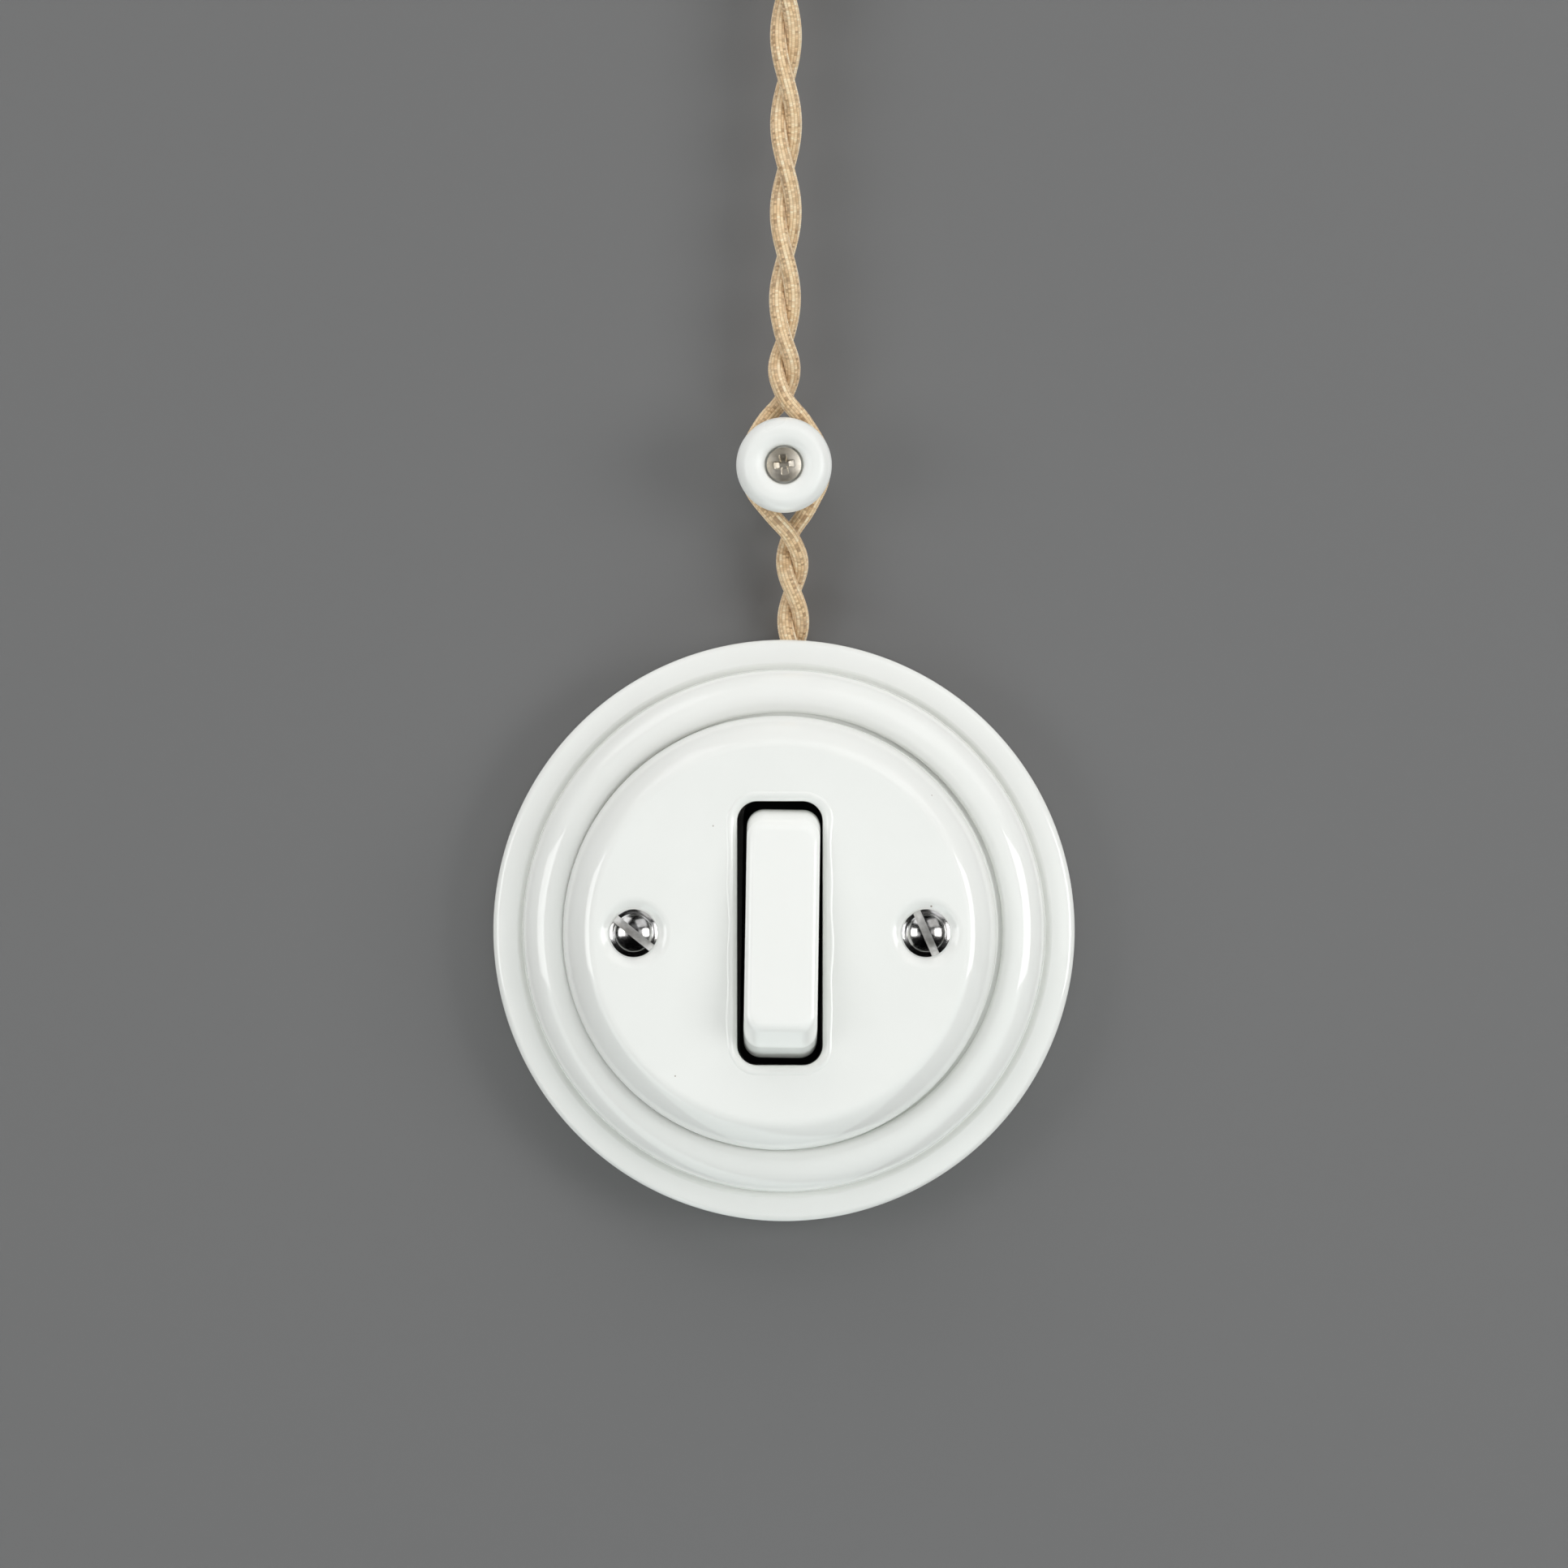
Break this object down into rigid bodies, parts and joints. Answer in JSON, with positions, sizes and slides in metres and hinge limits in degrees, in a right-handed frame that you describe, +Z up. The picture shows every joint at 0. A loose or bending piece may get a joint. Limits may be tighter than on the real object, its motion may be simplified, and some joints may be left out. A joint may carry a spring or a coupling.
{
  "type": "porcelain rocker switch with twisted flex",
  "caption": "Round surface-mounted porcelain rocker switch with a stepped wall ring, fed by a twisted textile flex that porcelain knob insulators hold off the wall.",
  "frame": {"origin": "centre of the wall ring's back face, on the wall", "axes": "+Z up the wall towards the knob insulators, +Y into the wall, so the switch faces -Y, and +X to the right"},
  "size_m": [0.1, 0.0581, 0.2585],
  "materials": {
    "porcelain": "gloss glaze",
    "rocker": "gloss",
    "steatite": "matt, unglazed",
    "bakelite": "moulded satin",
    "plated_screw": "nickel plated",
    "steel": "drawn",
    "brass": "stamped",
    "silver": "satin",
    "copper": "stranded bare copper",
    "linen": "braided linen",
    "ferrule": "tinned"
  },
  "bodies": {
    "base": {"wall_ring": "porcelain", "cover_plate": "porcelain", "knob_insulator": "porcelain", "far_knob_insulator": "porcelain", "base_plate": "steatite", "mechanism_housing": "bakelite", "cord_clamp": "bakelite", "cover_screw_left": "plated_screw", "cover_screw_right": "plated_screw", "knob_screw": "plated_screw", "far_knob_screw": "plated_screw", "housing_screws": "plated_screw", "cord_clamp_screws": "plated_screw", "terminal_screws": "plated_screw", "pivot_pins": "steel", "cover_inserts": "brass", "base_inserts": "brass", "common_contact": "brass", "fixed_contact_upper": "brass", "fixed_contact_lower": "brass", "terminal_common": "brass", "terminal_upper": "brass", "terminal_lower": "brass", "fixed_contact_tips": "silver", "bare_conductors": "copper", "flex_lower": "linen", "flex_upper": "linen", "core_left_at_knob": "linen", "core_right_at_knob": "linen", "core_left_at_end": "linen", "core_right_at_end": "linen", "core_tail_left": "linen", "core_tail_right": "linen", "ferrule_left": "ferrule", "ferrule_right": "ferrule"},
    "rocker": {"rocker_key": "rocker", "plunger_spring": "steel"},
    "plunger": {"plunger": "brass"},
    "contact": {"contact_seesaw": "brass", "seesaw_contacts": "silver"}
  },
  "joints": [
    {"name": "rocker_tilt", "type": "hinge", "parent": "base", "child": "rocker", "pos_m": [-0.00035, -0.016, -0.00015], "axis": [0.9999, 0, -0.0157], "range_deg": [0, 14]},
    {"name": "contact_tilt", "type": "hinge", "parent": "base", "child": "contact", "pos_m": [-0.00035, -0.0082, -0.00015], "axis": [0.9999, 0, -0.0157], "range_deg": [-12, 0]},
    {"name": "plunger_slide", "type": "slide", "parent": "rocker", "child": "plunger", "axis": [0.0019, -0.9925, 0.1219], "range_m": [0, 0.001], "stiffness_N_per_m": 300, "springref_m": -0.002, "deforming": ["plunger_spring"]}
  ],
  "couplings": [
    {"joint": "contact_tilt", "follows": "rocker_tilt", "ratio": -0.85714}
  ]
}
